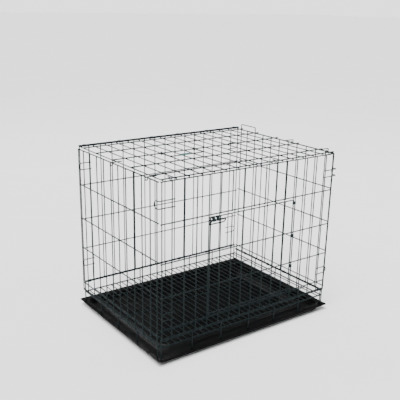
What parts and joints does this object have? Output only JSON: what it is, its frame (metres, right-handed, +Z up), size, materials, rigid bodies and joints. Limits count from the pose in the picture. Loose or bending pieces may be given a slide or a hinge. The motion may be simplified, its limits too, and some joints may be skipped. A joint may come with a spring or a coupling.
{
  "type": "folding wire pet crate",
  "caption": "Folding wire crate for a small dog: hinged wire panels on a raised floor grid, a bolted front door, a folding top with a carry handle, and a black drip tray under the floor.",
  "frame": {"origin": "middle of the crate's footprint, on the surface it stands on", "axes": "+Z up, +X along the long side, towards the door's hinge side, -Y out through the door side"},
  "size_m": [0.6388, 0.462, 0.5195],
  "materials": {
    "wire_enamel": "dark green-black hammered enamel, half gloss",
    "tray_plastic": "black moulded plastic, glossy",
    "grip_plastic": "dark teal moulded sleeve"
  },
  "bodies": {
    "base": {"floor_frame": "wire_enamel", "floor_mesh": "wire_enamel", "floor_runners": "wire_enamel", "left_hinge_wire": "wire_enamel", "right_hinge_wire": "wire_enamel", "front_hinge_wire": "wire_enamel", "rear_hinge_wire": "wire_enamel", "left_legs": "wire_enamel", "right_legs": "wire_enamel", "front_legs": "wire_enamel", "rear_legs": "wire_enamel"},
    "tray": {"tray": "tray_plastic"},
    "front_side": {"front_uprights": "wire_enamel", "front_short_uprights": "wire_enamel", "front_cross_wires": "wire_enamel", "front_hinge_clips": "wire_enamel", "front_high_hooks": "wire_enamel", "front_low_hooks": "wire_enamel"},
    "door": {"door_frame_uprights": "wire_enamel", "door_bars": "wire_enamel", "door_cross_wires": "wire_enamel", "door_hinge_clips": "wire_enamel", "bolt_guides": "wire_enamel"},
    "bolt": {"door_bolt": "wire_enamel", "bolt_eye": "wire_enamel"},
    "rear_side": {"rear_uprights": "wire_enamel", "rear_cross_wires": "wire_enamel", "rear_top_wire": "wire_enamel", "rear_hinge_clips": "wire_enamel", "rear_hooks": "wire_enamel"},
    "left_end": {"left_end_uprights": "wire_enamel", "left_end_cross_wires": "wire_enamel", "left_end_hinge_clips": "wire_enamel"},
    "right_end": {"right_end_uprights": "wire_enamel", "right_end_cross_wires": "wire_enamel", "right_end_hinge_clips": "wire_enamel", "right_end_loop": "wire_enamel"},
    "top": {"top_long_wires": "wire_enamel", "top_mesh": "wire_enamel", "top_hinge_clips": "wire_enamel", "top_end_hooks": "wire_enamel", "top_front_hooks": "wire_enamel"},
    "handle": {"handle_bail": "wire_enamel", "handle_eyes": "wire_enamel", "handle_grip": "grip_plastic"}
  },
  "joints": [
    {"name": "front_fold", "type": "hinge", "parent": "base", "child": "front_side", "pos_m": [0, -0.21795, 0.0704], "axis": [-1, 0, 0], "range_deg": [0, 90]},
    {"name": "rear_fold", "type": "hinge", "parent": "base", "child": "rear_side", "pos_m": [0, 0.21795, 0.0781], "axis": [1, 0, 0], "range_deg": [0, 90]},
    {"name": "top_fold", "type": "hinge", "parent": "rear_side", "child": "top", "pos_m": [0, 0.22405, 0.5084], "axis": [-1, 0, 0], "range_deg": [0, 270]},
    {"name": "left_fold", "type": "hinge", "parent": "base", "child": "left_end", "pos_m": [-0.30195, 0, 0.055], "axis": [0, 1, 0], "range_deg": [0, 90]},
    {"name": "right_fold", "type": "hinge", "parent": "base", "child": "right_end", "pos_m": [0.30195, 0, 0.0627], "axis": [0, -1, 0], "range_deg": [0, 90]},
    {"name": "door_swing", "type": "hinge", "parent": "front_side", "child": "door", "pos_m": [0.1524, -0.221, 0.2463], "axis": [0, 0, -1], "range_deg": [-165, 0]},
    {"name": "bolt_slide", "type": "slide", "parent": "door", "child": "bolt", "axis": [1, 0, 0], "range_m": [-0.01, 0]},
    {"name": "handle_flip", "type": "hinge", "parent": "top", "child": "handle", "pos_m": [-0.086, 0.021, 0.5069], "axis": [1, 0, 0], "range_deg": [-100, 0]},
    {"name": "tray_slide", "type": "slide", "parent": "base", "child": "tray", "axis": [0, 1, 0], "range_m": [-0.47, 0]}
  ],
  "couplings": [
    {"joint": "top_fold", "follows": "rear_fold", "ratio": 3}
  ]
}
